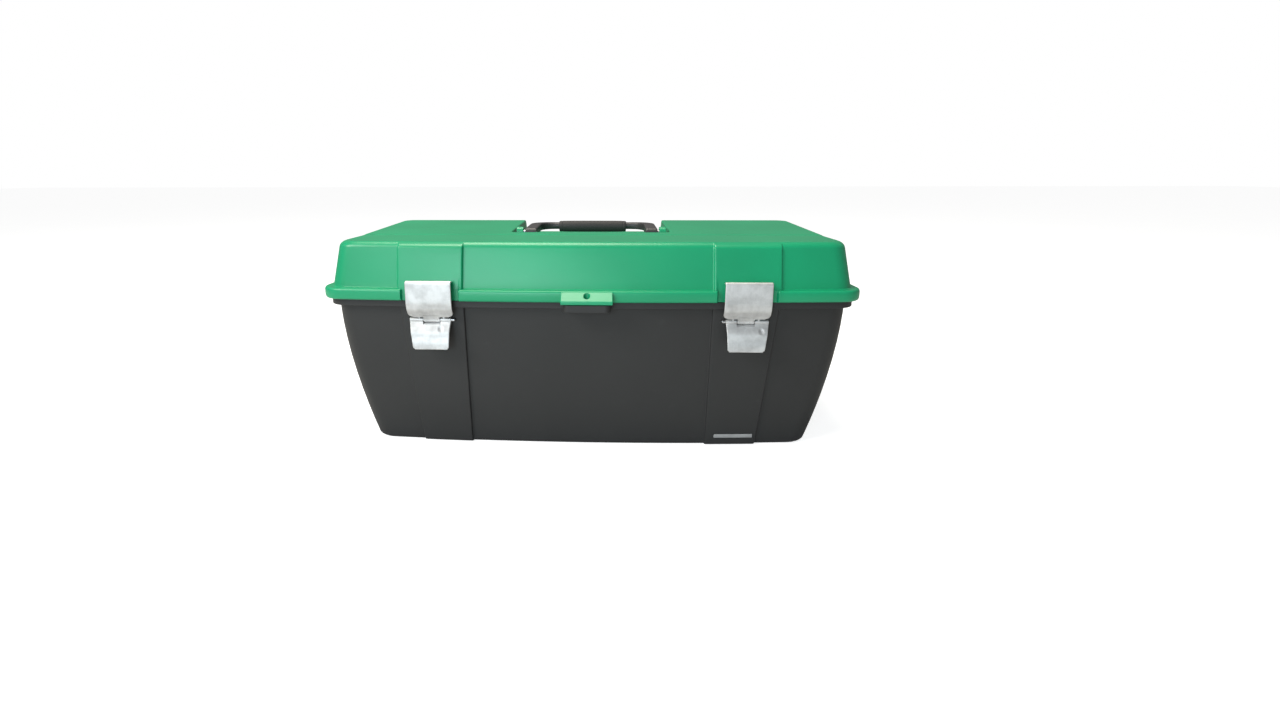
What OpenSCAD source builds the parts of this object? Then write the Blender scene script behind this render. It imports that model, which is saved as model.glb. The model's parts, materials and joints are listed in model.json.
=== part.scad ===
// Portable plastic toolbox: a deep tub, a hinged lid with a fold-down carrying handle,
// two over-centre draw latches and a lift-out tray. The front faces -Y, and z = 0 is the floor.

/* [Box] */
// Length over the lid's flange
box_length = 560; // [540:2:600]
// Depth over the lid's flange, at the ends of the box
box_depth = 272; // [266:2:290]
// Height of the tub's rim, where the lid meets it
rim_z = 164; // [160:1:170]
// How far the middle of the front stands out past its ends
front_bow = 10; // [4:0.5:11]
// Wall thickness of the tub and the lid
wall = 3; // [2.5:0.1:3.5]

/* [Lid] */
// Height of the lid's flange, which is its widest part
flange_h = 12.2; // [12:0.2:14]
// Height of the front shoulder above the rim
shoulder_h = 59; // [57:1:60]
// Height of the deck, the lid's top, above the rim
deck_h = 64; // [63:1:65]
// Width of the handle channel at its floor
channel_w = 185; // [180:1:200]
// Gap between the tub's rim and the lid's skirt
lid_gap = 0.4; // [0.3:0.1:0.6]

/* [Latches] */
// Distance of each latch from the middle of the box
latch_x = 161; // [155:1:165]
// Width of a claw plate
latch_w = 47; // [44:1:50]
// Thickness of the latch sheet metal
sheet = 1.6; // [1.2:0.1:1.8]

/* [Handle] */
// Length of the handle over its arms
handle_span = 160; // [150:1:162]
// Distance from the handle's pivot to the middle of its grip
handle_reach = 70; // [60:1:75]

/* [Tray] */
// Height of the lift-out tray
tray_h = 46; // [36:1:46]

/* [Hidden] */
$fn = 48;

half_l = box_length / 2;
half_d = box_depth / 2;
slice = 0.02;
run = 0.05;

// Heights in the tub
lip_h = 7;
lip_z = rim_z - lip_h;
wall_top_z = lip_z - 1;
foot_r = 4;
ledge_z = rim_z - 51;
tongue_h = 7;

// Heights in the lid
skirt_z = rim_z + lid_gap;
flange_z = rim_z + flange_h;
shoulder_z = rim_z + shoulder_h;
deck_z = rim_z + deck_h;
shoulder_r = 6;
deck_r = 4;
lid_corner_r = 19;
deck_corner_r = 12;
riser_y = -46;
deck_tilt = 1.67; // degrees, down towards the front
channel_front_y = -27;
channel_z = rim_z + 48;
flange_r = 24;

// Insets of the tub and the lid from the flange's outline
lip_inset = 5.5;
tub_inset = 12;
lid_inset = 8;
lid_lean = 0.17;
lid_back_lean = 0.36;

// Pilasters: the raised bands that run down the front under each latch
pilaster_in = latch_x - 33;
pilaster_top = latch_x + 35;
pilaster_foot = latch_x + 21.5;
pilaster_out = 3;

// Hinges
hinge_y = half_d + 6;
hinge_z = rim_z;
hinge_x = 155;
knuckle_r = 4.8;
knuckle_w = 18;
knuckle_gap = 0.6;
lid_knuckle_w = 23;
hinge_pin_r = 2;

// Padlock eye: the lid's tab over the tub's lug
eye_w = 52;
eye_y = -(half_d + front_bow + 4.4);
eye_r = 3.5;
eye_out = 6.2;

// Handle
pivot_z = rim_z + 58;
grip_z = rim_z + 59.5;
arm_t = 14;
handle_pin_l = 24;
bar_r = 4.5;
grip_r = 6.5;
grip_w = 88;
handle_pin_r = 2.5;
lug_w = 8;
lug_r = 6;

// Latch profile, measured outward from the pilaster's face and up from the floor
latch_y = front_at(latch_x - latch_w / 2, rim_z - 15) - pilaster_out;
pivot = [latch_y - 3.6, rim_z - 12];
link = [latch_y - 2.8, rim_z - 20.4];
pivot_pin_r = 1.25;
link_pin_r = 1.5;
ear_r = 2;
lever_knuckle_r = 2.5;
ear_x = 12;
bracket_t = 1;
bracket_ear_x = 9.5;
bracket_top_z = rim_z - 8;
bracket_y = front_at(latch_x - bracket_ear_x - sheet, bracket_top_z) - pilaster_out - 0.05;
claw_knuckle_w = 17;
lever_knuckle_x = 9.2;
lever_w = 46;
link_pin_l = 46.7;
link_pin_shift = 0.65; // towards the middle of the box, where its end shows
lever_knuckle_w = lever_w / 2 - lever_knuckle_x;
lever_tip_w = 37;
plate_y = latch_y - 12.6;
notch_w = 60;
keeper_y = lid_front_at(latch_x, flange_z) - pilaster_out;

// Tray
tray_z = ledge_z + 0.4;
tray_top_z = tray_z + tray_h;
tray_floor = 2.4;
tray_half_l = half_l - 20;
tray_half_d = half_d - 22;
tray_bar_w = 14;
tray_pocket_d = tray_half_d - 7;
tray_columns = [[66, 151], [154.4, 250]];

// The front's bow at a height, and how it fades from the middle of the box to its corners
function bow_at(z) = z > flange_z
    ? front_bow - 0.1 * (z - flange_z)
    : front_bow - 2 * max(0, (lip_z - z) / lip_z);
function bow_part(x, reach) = max(0, 1 - pow(x / reach, 2));

// How far an edge of radius r has rounded over at a height h above the start of the round
function rounded(h, r) = h > 0 ? r - sqrt(max(0, r * r - h * h)) : 0;

// Insets of the tub's ends and of its front and back, which lean in towards the floor
function tub_end(z) = tub_inset - 1.5
    + 28.3 * pow(max(0, 1 - z / wall_top_z), 1.75) + rounded(foot_r - z, foot_r);
function tub_side(z) = tub_inset + 1
    + 12 * pow(max(0, 1 - z / wall_top_z), 1.2) + rounded(foot_r - z, foot_r);

// Insets of the lid's shoulder and of its deck, which stands above it
function lid_wall(z, lean) = lid_inset + lean * (z - flange_z);
function shoulder_inset(z, lean) = lid_wall(z, lean) + rounded(z - shoulder_z + shoulder_r, shoulder_r);
function deck_inset(z, lean) = lid_wall(z, lean) + rounded(z - deck_z + deck_r, deck_r);

// Where the tub's front and the lid's front are at a place along the box
function front_at(x, z) = -(half_d - tub_side(z)) - bow_at(z) * bow_part(x, half_l - tub_end(z) - 20);
function lid_front_at(x, z) = -(half_d - shoulder_inset(z, lid_lean))
    - bow_at(z) * bow_part(x, half_l - shoulder_inset(z, lid_lean) - 20);

// Heights spread evenly from low to high
function steps(low, high, count) = [for (i = [0:count]) low + (high - low) * i / count];

// An arc of a rounded corner
function corner(x, y, r, start) = [
    for (i = [0:6]) [x + r * cos(start + 15 * i), y + r * sin(start + 15 * i)]
];

// A rounded rectangle whose front side bows outward
function outline(half, front, back, r, bow) = concat(
    [for (i = [1:11]) let (x = (half - r) * (i / 6 - 1)) [x, front - bow * bow_part(x, half - r)]],
    corner(half - r, front + r, r, -90),
    corner(half - r, back - r, r, 0),
    corner(r - half, back - r, r, 90),
    corner(r - half, front + r, r, 180)
);

// Points beside a path at a distance, for bent sheet metal
function heading(path, i) =
    let (a = path[max(0, i - 1)], b = path[min(len(path) - 1, i + 1)])
    (b - a) / norm(b - a);
function beside(path, distance) = [
    for (i = [0:len(path) - 1]) path[i] + distance * [-heading(path, i)[1], heading(path, i)[0]]
];
function reversed(path) = [for (i = [len(path) - 1:-1:0]) path[i]];

module slab(z, end_inset, front_inset, back_inset, r, bow) {
    translate([0, 0, z])
        linear_extrude(slice)
            polygon(outline(half_l - end_inset, front_inset - half_d, half_d - back_inset, r, bow));
}

// A flat ring or plate that follows the box's outline
module outline_plate(z, height, inset, r) {
    translate([0, 0, z])
        linear_extrude(height)
            polygon(outline(half_l - inset, inset - half_d, half_d - inset, r, front_bow));
}

// Extrudes a profile drawn in Y and Z along X, centred on a place
module along_x(x, width) {
    translate([x - width / 2, 0, 0])
        rotate([90, 0, 90])
            linear_extrude(width)
                children();
}

module rod(x, y, z, r, width) {
    translate([x - width / 2, y, z])
        rotate([0, 90, 0])
            cylinder(r = r, h = width);
}

module sheet_strip(path, t) {
    polygon(concat(beside(path, t / 2), reversed(beside(path, -t / 2))));
}

// A flat link with round ends, in Y and Z
module link_profile(a, b, r) {
    translate(a)
        circle(r);
    translate(b)
        circle(r);
    sheet_strip([a, b], 2 * r);
}

module rounded_rect(width, depth, r) {
    polygon(outline(width / 2, -depth / 2, depth / 2, r, 0));
}

module both_sides() {
    children();
    mirror([1, 0, 0])
        children();
}

// ---- Tub ----

module tub_solid(inset, floor_z) {
    hull()
        for (z = concat([floor_z, floor_z + 0.6, floor_z + 1.8], steps(floor_z + foot_r, wall_top_z, 11),
            [lip_z + 0.5]))
            slab(z, tub_end(z) + inset, tub_side(z) + inset, tub_side(z) + inset, 22 - inset, bow_at(z));
}

module tub_pilaster() {
    hull()
        for (z = concat([0, 1.2], steps(foot_r, wall_top_z, 6), [lip_z + 0.5])) {
            t = min(1, z / wall_top_z);
            outer = pilaster_foot + (pilaster_top - pilaster_foot) * t;
            middle = (pilaster_in + outer) / 2;
            xs = [pilaster_in, middle, outer];
            translate([0, 0, z])
                linear_extrude(slice)
                    polygon(concat(
                        [for (x = xs) [x, front_at(x, z) - pilaster_out]],
                        [[outer, front_at(outer, z) + 2], [pilaster_in, front_at(outer, z) + 2]]
                    ));
        }
}

module tub_hinge_profile() {
    polygon([
        [half_d - 14, rim_z - 20],
        [half_d - 14, rim_z - 0.2],
        [hinge_y, rim_z - 0.2],
        [hinge_y, rim_z - knuckle_r]
    ]);
    translate([hinge_y, hinge_z])
        circle(knuckle_r);
}

module padlock_lug() {
    translate([-eye_w / 2 + 2, eye_y - eye_out + 1, lip_z - 1])
        cube([eye_w - 4, 30, lip_h + 0.8]);
}

module tray_ledges() {
    both_sides()
        translate([half_l - 32, -half_d + 45, ledge_z - 4])
            cube([16, box_depth - 90, 4]);
}

module rivet_holes(side) {
    for (x = [-5.5, 5.5])
        translate([side * latch_x + x, latch_y - 5, rim_z - 9.8])
            rotate([-90, 0, 0])
                cylinder(r = 1.5 + run, h = 20);
}

module base_tub() {
    color([0.16, 0.16, 0.165])
        difference() {
            union() {
                difference() {
                    union() {
                        tub_solid(0, 0);
                        outline_plate(lip_z, lip_h, lip_inset, 22);
                        outline_plate(rim_z, tongue_h, lip_inset + 1.2, 21);
                        both_sides()
                            tub_pilaster();
                        padlock_lug();
                        for (side = [-1, 1])
                            for (end = [-1, 1])
                                along_x(side * hinge_x + end * (lid_knuckle_w + knuckle_w) / 2
                                    + end * knuckle_gap, knuckle_w)
                                    tub_hinge_profile();
                    }
                    tub_solid(wall, wall);
                    outline_plate(wall_top_z - 0.5, 20, tub_inset + wall, 17);
                }
                tray_ledges();
            }
            for (side = [-1, 1]) {
                rod(side * hinge_x, hinge_y, hinge_z, hinge_pin_r + run, 70);
                rivet_holes(side);
            }
            translate([0, eye_y, lip_z - 5])
                cylinder(r = eye_r, h = 20);
        }
}

// ---- Lid ----

module lid_flange() {
    hull()
        for (h = steps(0, 1, 8)) {
            z = skirt_z + (flange_z - skirt_z - slice) * h;
            edge = pow(abs(2 * h - 1), 5) * 1.8;
            slab(z, edge, edge, edge, flange_r - edge, front_bow);
        }
}

module lid_body(inset, low_z) {
    hull()
        for (z = concat([low_z], steps(flange_z, shoulder_z - inset - shoulder_r, 3),
            [for (a = [18:18:90]) shoulder_z - inset - shoulder_r + shoulder_r * sin(a) - slice]))
            slab(z,
                shoulder_inset(z + inset, lid_lean) + inset,
                shoulder_inset(z + inset, lid_lean) + inset,
                shoulder_inset(z + inset, lid_back_lean) + inset,
                lid_corner_r - inset, bow_at(z));
}

module deck_slab(z, inset) {
    translate([0, 0, z])
        linear_extrude(slice)
            polygon(outline(
                half_l - deck_inset(z + inset, lid_lean) - inset,
                riser_y + inset - 3 + (z + inset - shoulder_z) * 0.6,
                half_d - deck_inset(z + inset, lid_back_lean) - inset,
                deck_corner_r - inset, 0));
}

module lid_deck(inset) {
    back_y = half_d - deck_inset(deck_z, lid_back_lean);
    hull() {
        deck_slab(flange_z + 2, inset);
        translate([0, back_y, deck_z])
            rotate([deck_tilt, 0, 0])
                translate([0, -back_y, -deck_z])
                    for (a = [0:22.5:90])
                        deck_slab(deck_z - inset - deck_r + deck_r * sin(a) - slice, inset);
    }
}

module lid_pilaster() {
    hull()
        for (z = [flange_z - 6, flange_z + 1, shoulder_z - 6, shoulder_z - 3.5, shoulder_z - 1.6])
            translate([0, 0, z])
                linear_extrude(slice)
                    polygon(concat(
                        [for (x = [pilaster_in, (pilaster_in + pilaster_top) / 2, pilaster_top])
                            [x, lid_front_at(x, max(z, flange_z)) - pilaster_out]],
                        [[pilaster_top, -half_d + 32], [pilaster_in, -half_d + 32]]
                    ));
}

module channel_block(grow) {
    translate([0, 0, channel_z - grow])
        linear_extrude(deck_h)
            polygon(outline(channel_w / 2 + 1 + grow, channel_front_y - grow, half_d + 30, 8 + grow, 0));
}

module lid_hinge_profile() {
    polygon([
        [half_d - 2, rim_z + 1.5],
        [half_d - 2, flange_z - 1.5],
        [hinge_y + 1.5, rim_z + knuckle_r - 0.3],
        [hinge_y, rim_z - 2]
    ]);
    translate([hinge_y, hinge_z])
        circle(knuckle_r);
}

module padlock_tab() {
    front = eye_y - eye_out;
    along_x(0, eye_w)
        polygon([
            [-half_d, skirt_z],
            [-half_d, flange_z - 0.8],
            [-half_d - front_bow - 0.5, flange_z - 0.8],
            [front, skirt_z + 3.4],
            [front, skirt_z]
        ]);
}

module handle_lug() {
    along_x(handle_span / 2 + 2 + lug_w / 2, lug_w) {
        translate([0, pivot_z])
            circle(lug_r);
        translate([-lug_r - 2, channel_z - 1])
            square([2 * lug_r + 4, pivot_z - channel_z + 1]);
    }
}

module lid_shell() {
    color([0.1, 0.62, 0.4])
        difference() {
            union() {
                difference() {
                    union() {
                        lid_flange();
                        lid_body(0, flange_z - 4);
                        lid_deck(0);
                        both_sides()
                            lid_pilaster();
                        padlock_tab();
                        for (side = [-1, 1])
                            along_x(side * hinge_x, lid_knuckle_w)
                                lid_hinge_profile();
                    }
                    difference() {
                        union() {
                            lid_body(wall, flange_z - 8);
                            lid_deck(wall);
                        }
                        channel_block(wall);
                    }
                    outline_plate(skirt_z - 1, flange_z - wall - skirt_z + 1, wall, flange_r - wall);
                    channel_block(0);
                    for (side = [-1, 1])
                        translate([side * latch_x - notch_w / 2, keeper_y - 20, skirt_z - 1])
                            cube([notch_w, 20, 30]);
                }
                both_sides()
                    handle_lug();
            }
            for (side = [-1, 1]) {
                rod(side * hinge_x, hinge_y, hinge_z, hinge_pin_r + run, 70);
                rod(side * (handle_span / 2 + 6), 0, pivot_z, handle_pin_r + run, 9);
            }
            translate([0, eye_y, rim_z])
                cylinder(r = eye_r, h = 30);
        }
}

// ---- Handle ----

module handle_bail() {
    arm_x = handle_span / 2 - arm_t / 2;
    color([0.13, 0.13, 0.14])
        difference() {
            union() {
                both_sides()
                    along_x(arm_x, arm_t)
                        link_profile([0, pivot_z], [handle_reach, grip_z], bar_r + 0.5);
                rod(0, handle_reach, grip_z, bar_r, 2 * arm_x);
            }
            both_sides()
                rod(arm_x, 0, pivot_z, handle_pin_r + run, arm_t + 2);
        }
}

module handle_grip() {
    color([0.2, 0.2, 0.21])
        difference() {
            rod(0, handle_reach, grip_z, grip_r, grip_w);
            rod(0, handle_reach, grip_z, bar_r + run, grip_w + 2);
        }
}

module handle_pin(side) {
    color("silver")
        rod(side * (handle_span / 2 + 10 - handle_pin_l / 2), 0, pivot_z, handle_pin_r, handle_pin_l);
}

// ---- Hinge pins ----

module hinge_pin(side) {
    color("silver")
        rod(side * hinge_x, hinge_y, hinge_z, hinge_pin_r, lid_knuckle_w + 2 * (knuckle_w + knuckle_gap));
}

// ---- Latches ----

module latch_bracket(side) {
    color("silver")
        difference() {
            union() {
                along_x(side * latch_x, 2 * (bracket_ear_x + sheet))
                    sheet_strip([
                        [bracket_y - bracket_t / 2, bracket_top_z - 7.6],
                        [bracket_y - bracket_t / 2, bracket_top_z]
                    ], bracket_t);
                for (end = [-1, 1])
                    along_x(side * latch_x + end * (bracket_ear_x + sheet / 2), sheet)
                        link_profile(pivot, [bracket_y - ear_r, pivot[1]], ear_r);
            }
            rod(side * latch_x, pivot[0], pivot[1], pivot_pin_r + run, 40);
            rivet_holes(side);
        }
}

module bracket_rivets(side) {
    color("gainsboro")
        for (x = [-5.5, 5.5])
            translate([side * latch_x + x, bracket_y - bracket_t, rim_z - 9.8])
                rotate([-90, 0, 0]) {
                    translate([0, 0, -0.7])
                        cylinder(r = 2.2, h = 0.7);
                    cylinder(r = 1.5, h = 7.4);
                }
}

module pivot_pin(side) {
    color("silver")
        rod(side * latch_x, pivot[0], pivot[1], pivot_pin_r, 2 * (ear_x + sheet) + 1);
}

module lever_outline() {
    top_z = link[1] + 6;
    polygon([
        [-lever_w / 2, top_z + 20],
        [-lever_w / 2, top_z - 4],
        [-lever_tip_w / 2, link[1] - 30],
        [lever_tip_w / 2, link[1] - 30],
        [lever_w / 2, top_z - 4],
        [lever_w / 2, top_z + 20]
    ]);
}

module latch_lever(side) {
    color([0.8, 0.81, 0.82])
        difference() {
            union() {
                intersection() {
                    along_x(side * latch_x, lever_w)
                        sheet_strip([
                            link + [-0.9, -1.6],
                            link + [-2.4, -4.4],
                            link + [-6.6, -10.8],
                            link + [-7.6, -13.4],
                            link + [-8, -17.4],
                            link + [-9.8, -22.6],
                            link + [-10, -28.6]
                        ], sheet);
                    translate([side * latch_x, 0, 0])
                        rotate([90, 0, 0])
                            linear_extrude(box_depth)
                                lever_outline();
                }
                for (end = [-1, 1]) {
                    rod(side * latch_x + end * (lever_knuckle_x + lever_knuckle_w / 2), link[0], link[1],
                        lever_knuckle_r, lever_knuckle_w);
                    along_x(side * latch_x + end * (ear_x + sheet / 2), sheet)
                        link_profile(pivot, link, ear_r);
                }
            }
            rod(side * latch_x, pivot[0], pivot[1], pivot_pin_r + run, 40);
            rod(side * latch_x, link[0], link[1], link_pin_r, 60);
            rod(side * latch_x, link[0], link[1], 6, 2 * lever_knuckle_x);
        }
}

module link_pin(side) {
    color("silver")
        rod(side * (latch_x - link_pin_shift), link[0], link[1], link_pin_r, link_pin_l);
}

module latch_claw(side) {
    waist = link + [-3.8, 4.3];
    color([0.84, 0.85, 0.86])
        difference() {
            union() {
                along_x(side * latch_x, latch_w)
                    sheet_strip([
                        [keeper_y - 0.5, rim_z + 19.4],
                        [plate_y + 1.6, rim_z + 21.2],
                        [plate_y + 0.1, rim_z + 19.6],
                        [plate_y - 0.2, rim_z + 10],
                        [plate_y - 0.2, rim_z - 1],
                        [plate_y + 1, rim_z - 8],
                        waist + [-1.8, 3.4],
                        waist
                    ], sheet);
                along_x(side * latch_x, claw_knuckle_w)
                    sheet_strip([
                        waist + [-1.8, 3.4],
                        waist,
                        link + [-2.1, 1.4],
                        link + [-1.5, 0.2]
                    ], sheet);
                rod(side * latch_x, link[0], link[1], lever_knuckle_r, claw_knuckle_w);
            }
            rod(side * latch_x, link[0], link[1], link_pin_r + run, 30);
        }
}

// ---- Nameplate ----

module nameplate() {
    plate_z = 12;
    plate_x = latch_x - 3;
    plate_w = 42;
    lean = atan((front_at(plate_x, 4.5) - front_at(plate_x, 20)) / 15.5);
    plate_ends = [for (end = [-1, 1]) front_at(plate_x + end * plate_w / 2, plate_z)];
    turn = atan((plate_ends[1] - plate_ends[0]) / plate_w);
    color("gainsboro")
        translate([plate_x, front_at(plate_x, plate_z) - pilaster_out - 0.2, plate_z])
            rotate([90 + lean, 0, turn])
                linear_extrude(0.8)
                    rounded_rect(plate_w, 4.2, 1);
}

// ---- Tray ----

module tray_pocket(x0, x1, y0, y1) {
    translate([(x0 + x1) / 2, (y0 + y1) / 2, tray_z + tray_floor])
        linear_extrude(tray_h, scale = 1.012)
            rounded_rect(x1 - x0, y1 - y0, 7);
}

module tray() {
    color([0.28, 0.28, 0.29])
        union() {
            difference() {
                union() {
                    hull() {
                        translate([0, 0, tray_z])
                            linear_extrude(slice)
                                rounded_rect(2 * tray_half_l - 10, 2 * tray_half_d - 8, 10);
                        translate([0, 0, tray_top_z - 2])
                            linear_extrude(2)
                                rounded_rect(2 * tray_half_l - 4, 2 * tray_half_d - 4, 12);
                    }
                    translate([0, 0, tray_top_z - 2])
                        linear_extrude(2)
                            rounded_rect(2 * tray_half_l, 2 * tray_half_d, 14);
                }
                both_sides()
                    for (column = tray_columns)
                        for (row = [-1, 1])
                            tray_pocket(column[0], column[1],
                                row > 0 ? 1.3 : -tray_pocket_d, row > 0 ? tray_pocket_d : -1.3);
                tray_pocket(-62, 62, -tray_pocket_d, tray_pocket_d);
            }
            along_x(0, 126) {
                translate([0, tray_top_z - 2.5])
                    circle(tray_bar_w / 2);
                translate([-tray_bar_w / 2, tray_top_z - 12])
                    square([tray_bar_w, 9.5]);
            }
        }
}

base_tub();
lid_shell();
tray();
handle_bail();
handle_grip();
handle_pin(-1);  // handle_pin_left
handle_pin(1);  // handle_pin_right
hinge_pin(-1);  // hinge_pin_left
hinge_pin(1);  // hinge_pin_right
latch_bracket(-1);  // latch_bracket_left
latch_bracket(1);  // latch_bracket_right
bracket_rivets(-1);  // bracket_rivets_left
bracket_rivets(1);  // bracket_rivets_right
pivot_pin(-1);  // pivot_pin_left
pivot_pin(1);  // pivot_pin_right
latch_lever(-1);  // latch_lever_left
latch_lever(1);  // latch_lever_right
link_pin(-1);  // link_pin_left
link_pin(1);  // link_pin_right
latch_claw(-1);  // latch_claw_left
latch_claw(1);  // latch_claw_right
nameplate();
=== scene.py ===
"""Looks of a portable plastic toolbox: tub, hinged lid, handle, draw latches and lift-out tray.

Lengths are in metres, and MM is one millimetre. Each CAD node gets a moulded, pressed or turned
piece built in mesh code. The shells are lofts: closed rings of points that follow the box's outline,
stacked up the outer surface and down the inner one. A station is a place along the outline, and
every ring of a shell has the same stations.
"""
import json
import math

import bmesh
import bpy
from mathutils import Matrix, Vector


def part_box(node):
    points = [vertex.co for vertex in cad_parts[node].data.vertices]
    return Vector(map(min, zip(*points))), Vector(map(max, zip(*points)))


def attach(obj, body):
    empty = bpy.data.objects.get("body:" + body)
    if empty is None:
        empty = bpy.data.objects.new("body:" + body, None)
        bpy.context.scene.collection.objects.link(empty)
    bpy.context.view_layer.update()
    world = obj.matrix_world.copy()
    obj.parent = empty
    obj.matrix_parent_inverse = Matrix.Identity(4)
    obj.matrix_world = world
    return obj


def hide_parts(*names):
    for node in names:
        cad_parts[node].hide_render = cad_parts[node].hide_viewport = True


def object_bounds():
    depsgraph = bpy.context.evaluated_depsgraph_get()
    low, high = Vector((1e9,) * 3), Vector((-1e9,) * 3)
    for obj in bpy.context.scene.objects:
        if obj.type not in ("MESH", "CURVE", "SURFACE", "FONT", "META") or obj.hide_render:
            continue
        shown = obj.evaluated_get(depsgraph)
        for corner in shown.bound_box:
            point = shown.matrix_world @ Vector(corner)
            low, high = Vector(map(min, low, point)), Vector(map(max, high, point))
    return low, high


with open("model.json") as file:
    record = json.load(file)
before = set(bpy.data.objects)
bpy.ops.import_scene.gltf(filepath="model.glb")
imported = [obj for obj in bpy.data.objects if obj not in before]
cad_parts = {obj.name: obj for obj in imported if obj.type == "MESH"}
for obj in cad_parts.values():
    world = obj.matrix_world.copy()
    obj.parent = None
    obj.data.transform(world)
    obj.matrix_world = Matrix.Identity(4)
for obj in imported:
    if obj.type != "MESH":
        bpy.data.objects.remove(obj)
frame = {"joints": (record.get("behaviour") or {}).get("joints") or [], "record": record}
cad_lo, cad_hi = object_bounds()

MM = 0.001
joints = {j["name"]: j for j in frame["joints"]}

# ---- Driving sizes, from the frame ----

lid_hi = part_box("lid_shell")[1]
hinge_y, hinge_z = joints["lid_hinge"]["pos_m"][1:]
handle_pivot = joints["handle_pivot"]["pos_m"]
lever_pivot = joints["lever_left_pivot"]["pos_m"]
claw_link = joints["claw_left_link"]["pos_m"]
latch_x = -lever_pivot[0]

half_l = lid_hi.x
half_d = hinge_y - 6 * MM
rim_z = hinge_z
deck_z = rim_z + 64 * MM
shoulder_z = deck_z - 5 * MM
channel_z = deck_z - 16 * MM
skirt_z = rim_z + 0.4 * MM
flange_z = rim_z + 12.2 * MM
lip_z = rim_z - 7 * MM
wall_top = lip_z - 1 * MM
wall = 3 * MM
front_bow = 10 * MM
foot_r = 4 * MM
flange_r = 24 * MM
lid_front_r = 19 * MM
lid_back_r = 12 * MM
lid_lean = 0.17
lid_back_lean = 0.36

# The deck leans down towards the shoulder and meets it in a low step. The handle folds into a channel
deck_back = half_d - 30.65 * MM
deck_fall = math.tan(math.radians(1.67))
riser_foot = -49.4 * MM
riser_run = 4.0 * MM
RISER_ROWS = 7
channel_half = 93.5 * MM
channel_front = -27.0 * MM
channel_corner = 8 * MM

# Raised bands on the front under each latch, and the notch in the flange for the claw
pilaster_in = latch_x - 33 * MM
pilaster_top = latch_x + 35 * MM
pilaster_foot = latch_x + 21.5 * MM
pilaster_out = 3 * MM
notch_half = 30 * MM

# Hinge knuckles, their holes and the holes for the handle's and the levers' pins
knuckle_r, hinge_hole_r, handle_hole_r, lever_hole_r = (r * MM for r in (4.8, 2.05, 2.55, 1.3))

# The tray stands on ledges this far below the rim, and its own rim is this far above its bottom
ledge_drop, tray_tall = 51 * MM, 46 * MM

# A moulded step seen from above: distance across the edge, and share of the step's height
STEP = [(-1.4, 0.0), (-0.75, 0.04), (-0.32, 0.16), (-0.12, 0.36),
        (0.12, 0.64), (0.32, 0.84), (0.75, 0.96), (1.4, 1.0)]
STEP_REACH = 1.4 * MM
CORNER_STEPS = 9


# ---- Outline of the box ----

def spread(a, b, count):
    """Points evenly between a and b, without either."""
    return [a + (b - a) * (i + 1) / (count + 1) for i in range(count)]


def smooth(t):
    t = min(1.0, max(0.0, t))
    return t * t * (3 - 2 * t)


def rounded(height, r):
    """How far an edge of radius r has rounded over at a height above the start of the round."""
    return r - math.sqrt(max(0.0, r * r - height * height)) if height > 0 else 0.0


def bow_at(z):
    if z > flange_z:
        return front_bow - 0.1 * (z - flange_z)
    return front_bow - 2 * MM * max(0.0, (lip_z - z) / lip_z)


def bow_part(x, reach):
    return max(0.0, 1 - (x / reach) ** 2)


def tub_end(z):
    return 10.5 * MM + 28.3 * MM * max(0.0, 1 - z / wall_top) ** 1.75 + rounded(foot_r - z, foot_r)


def tub_side(z):
    return 13 * MM + 12 * MM * max(0.0, 1 - z / wall_top) ** 1.2 + rounded(foot_r - z, foot_r)


def lid_wall(z, lean):
    return 8 * MM + lean * (z - flange_z)


def front_line(x, inset, r, bow, end_inset=None):
    """The front face's y at x, for an inset from the flange's outline."""
    reach = half_l - (inset if end_inset is None else end_inset) - r
    return -(half_d - inset) - bow * bow_part(x, reach)


keeper_y = front_line(latch_x, 8 * MM, 20 * MM, front_bow) - pilaster_out


def edge_row(end, edges, counts):
    """Points from the middle of a side out to its corner: (distance, {feature: share}).

    edges are (place, feature, up), in order outward. Each is a moulded step up or down.
    """
    row, level, at = [(0.0, {})], {}, 0.0
    for (place, feature, up), count in zip(edges, counts):
        row += [(x, dict(level)) for x in spread(at, place - STEP_REACH, count)]
        for dx, share in STEP:
            level[feature] = share if up else 1 - share
            row.append((place + dx * MM, dict(level)))
        at = place + STEP_REACH
    row += [(x, dict(level)) for x in spread(at, end, counts[-1])]
    return row


def both_ways(row):
    """The whole side from a half row: left to right, as (x, features)."""
    return [(-x, f) for x, f in reversed(row[1:])] + row


def arc(cx, cy, r, start, end, count):
    """Points on an arc, ends included; angles in degrees."""
    angles = [math.radians(start + (end - start) * i / (count - 1)) for i in range(count)]
    return [(cx + r * math.cos(a), cy + r * math.sin(a)) for a in angles]


def corner(cx, cy, r, start):
    return arc(cx, cy, r, start, start + 90, CORNER_STEPS)


def mm(points):
    """Points in millimetres as points in metres."""
    return [tuple(c * MM for c in p) for p in points]


# ---- Meshes ----

class Shape:
    """Collects the vertices and faces of one closed shell."""

    def __init__(self):
        self.verts, self.faces = [], []

    def add(self, p):
        self.verts.append((p[0], p[1], p[2]))
        return len(self.verts) - 1

    def ring(self, points):
        return [self.add(p) for p in points]

    def bridge(self, a, b, closed=True):
        count = len(a)
        for i in range(count if closed else count - 1):
            j = (i + 1) % count
            face = tuple(dict.fromkeys((a[i], a[j], b[j], b[i])))
            if len(face) > 2:
                self.faces.append(face)

    def loft(self, rings, closed=True):
        for a, b in zip(rings, rings[1:]):
            self.bridge(a, b, closed)

    def cap(self, loop):
        self.faces.append(tuple(dict.fromkeys(loop)))

    def solid(self, rings):
        self.loft(rings)
        self.cap(rings[0])
        self.cap(rings[-1])


def linked(name, data):
    """A new object in the scene."""
    obj = bpy.data.objects.new(name, data)
    bpy.context.scene.collection.objects.link(obj)
    return obj


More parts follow.
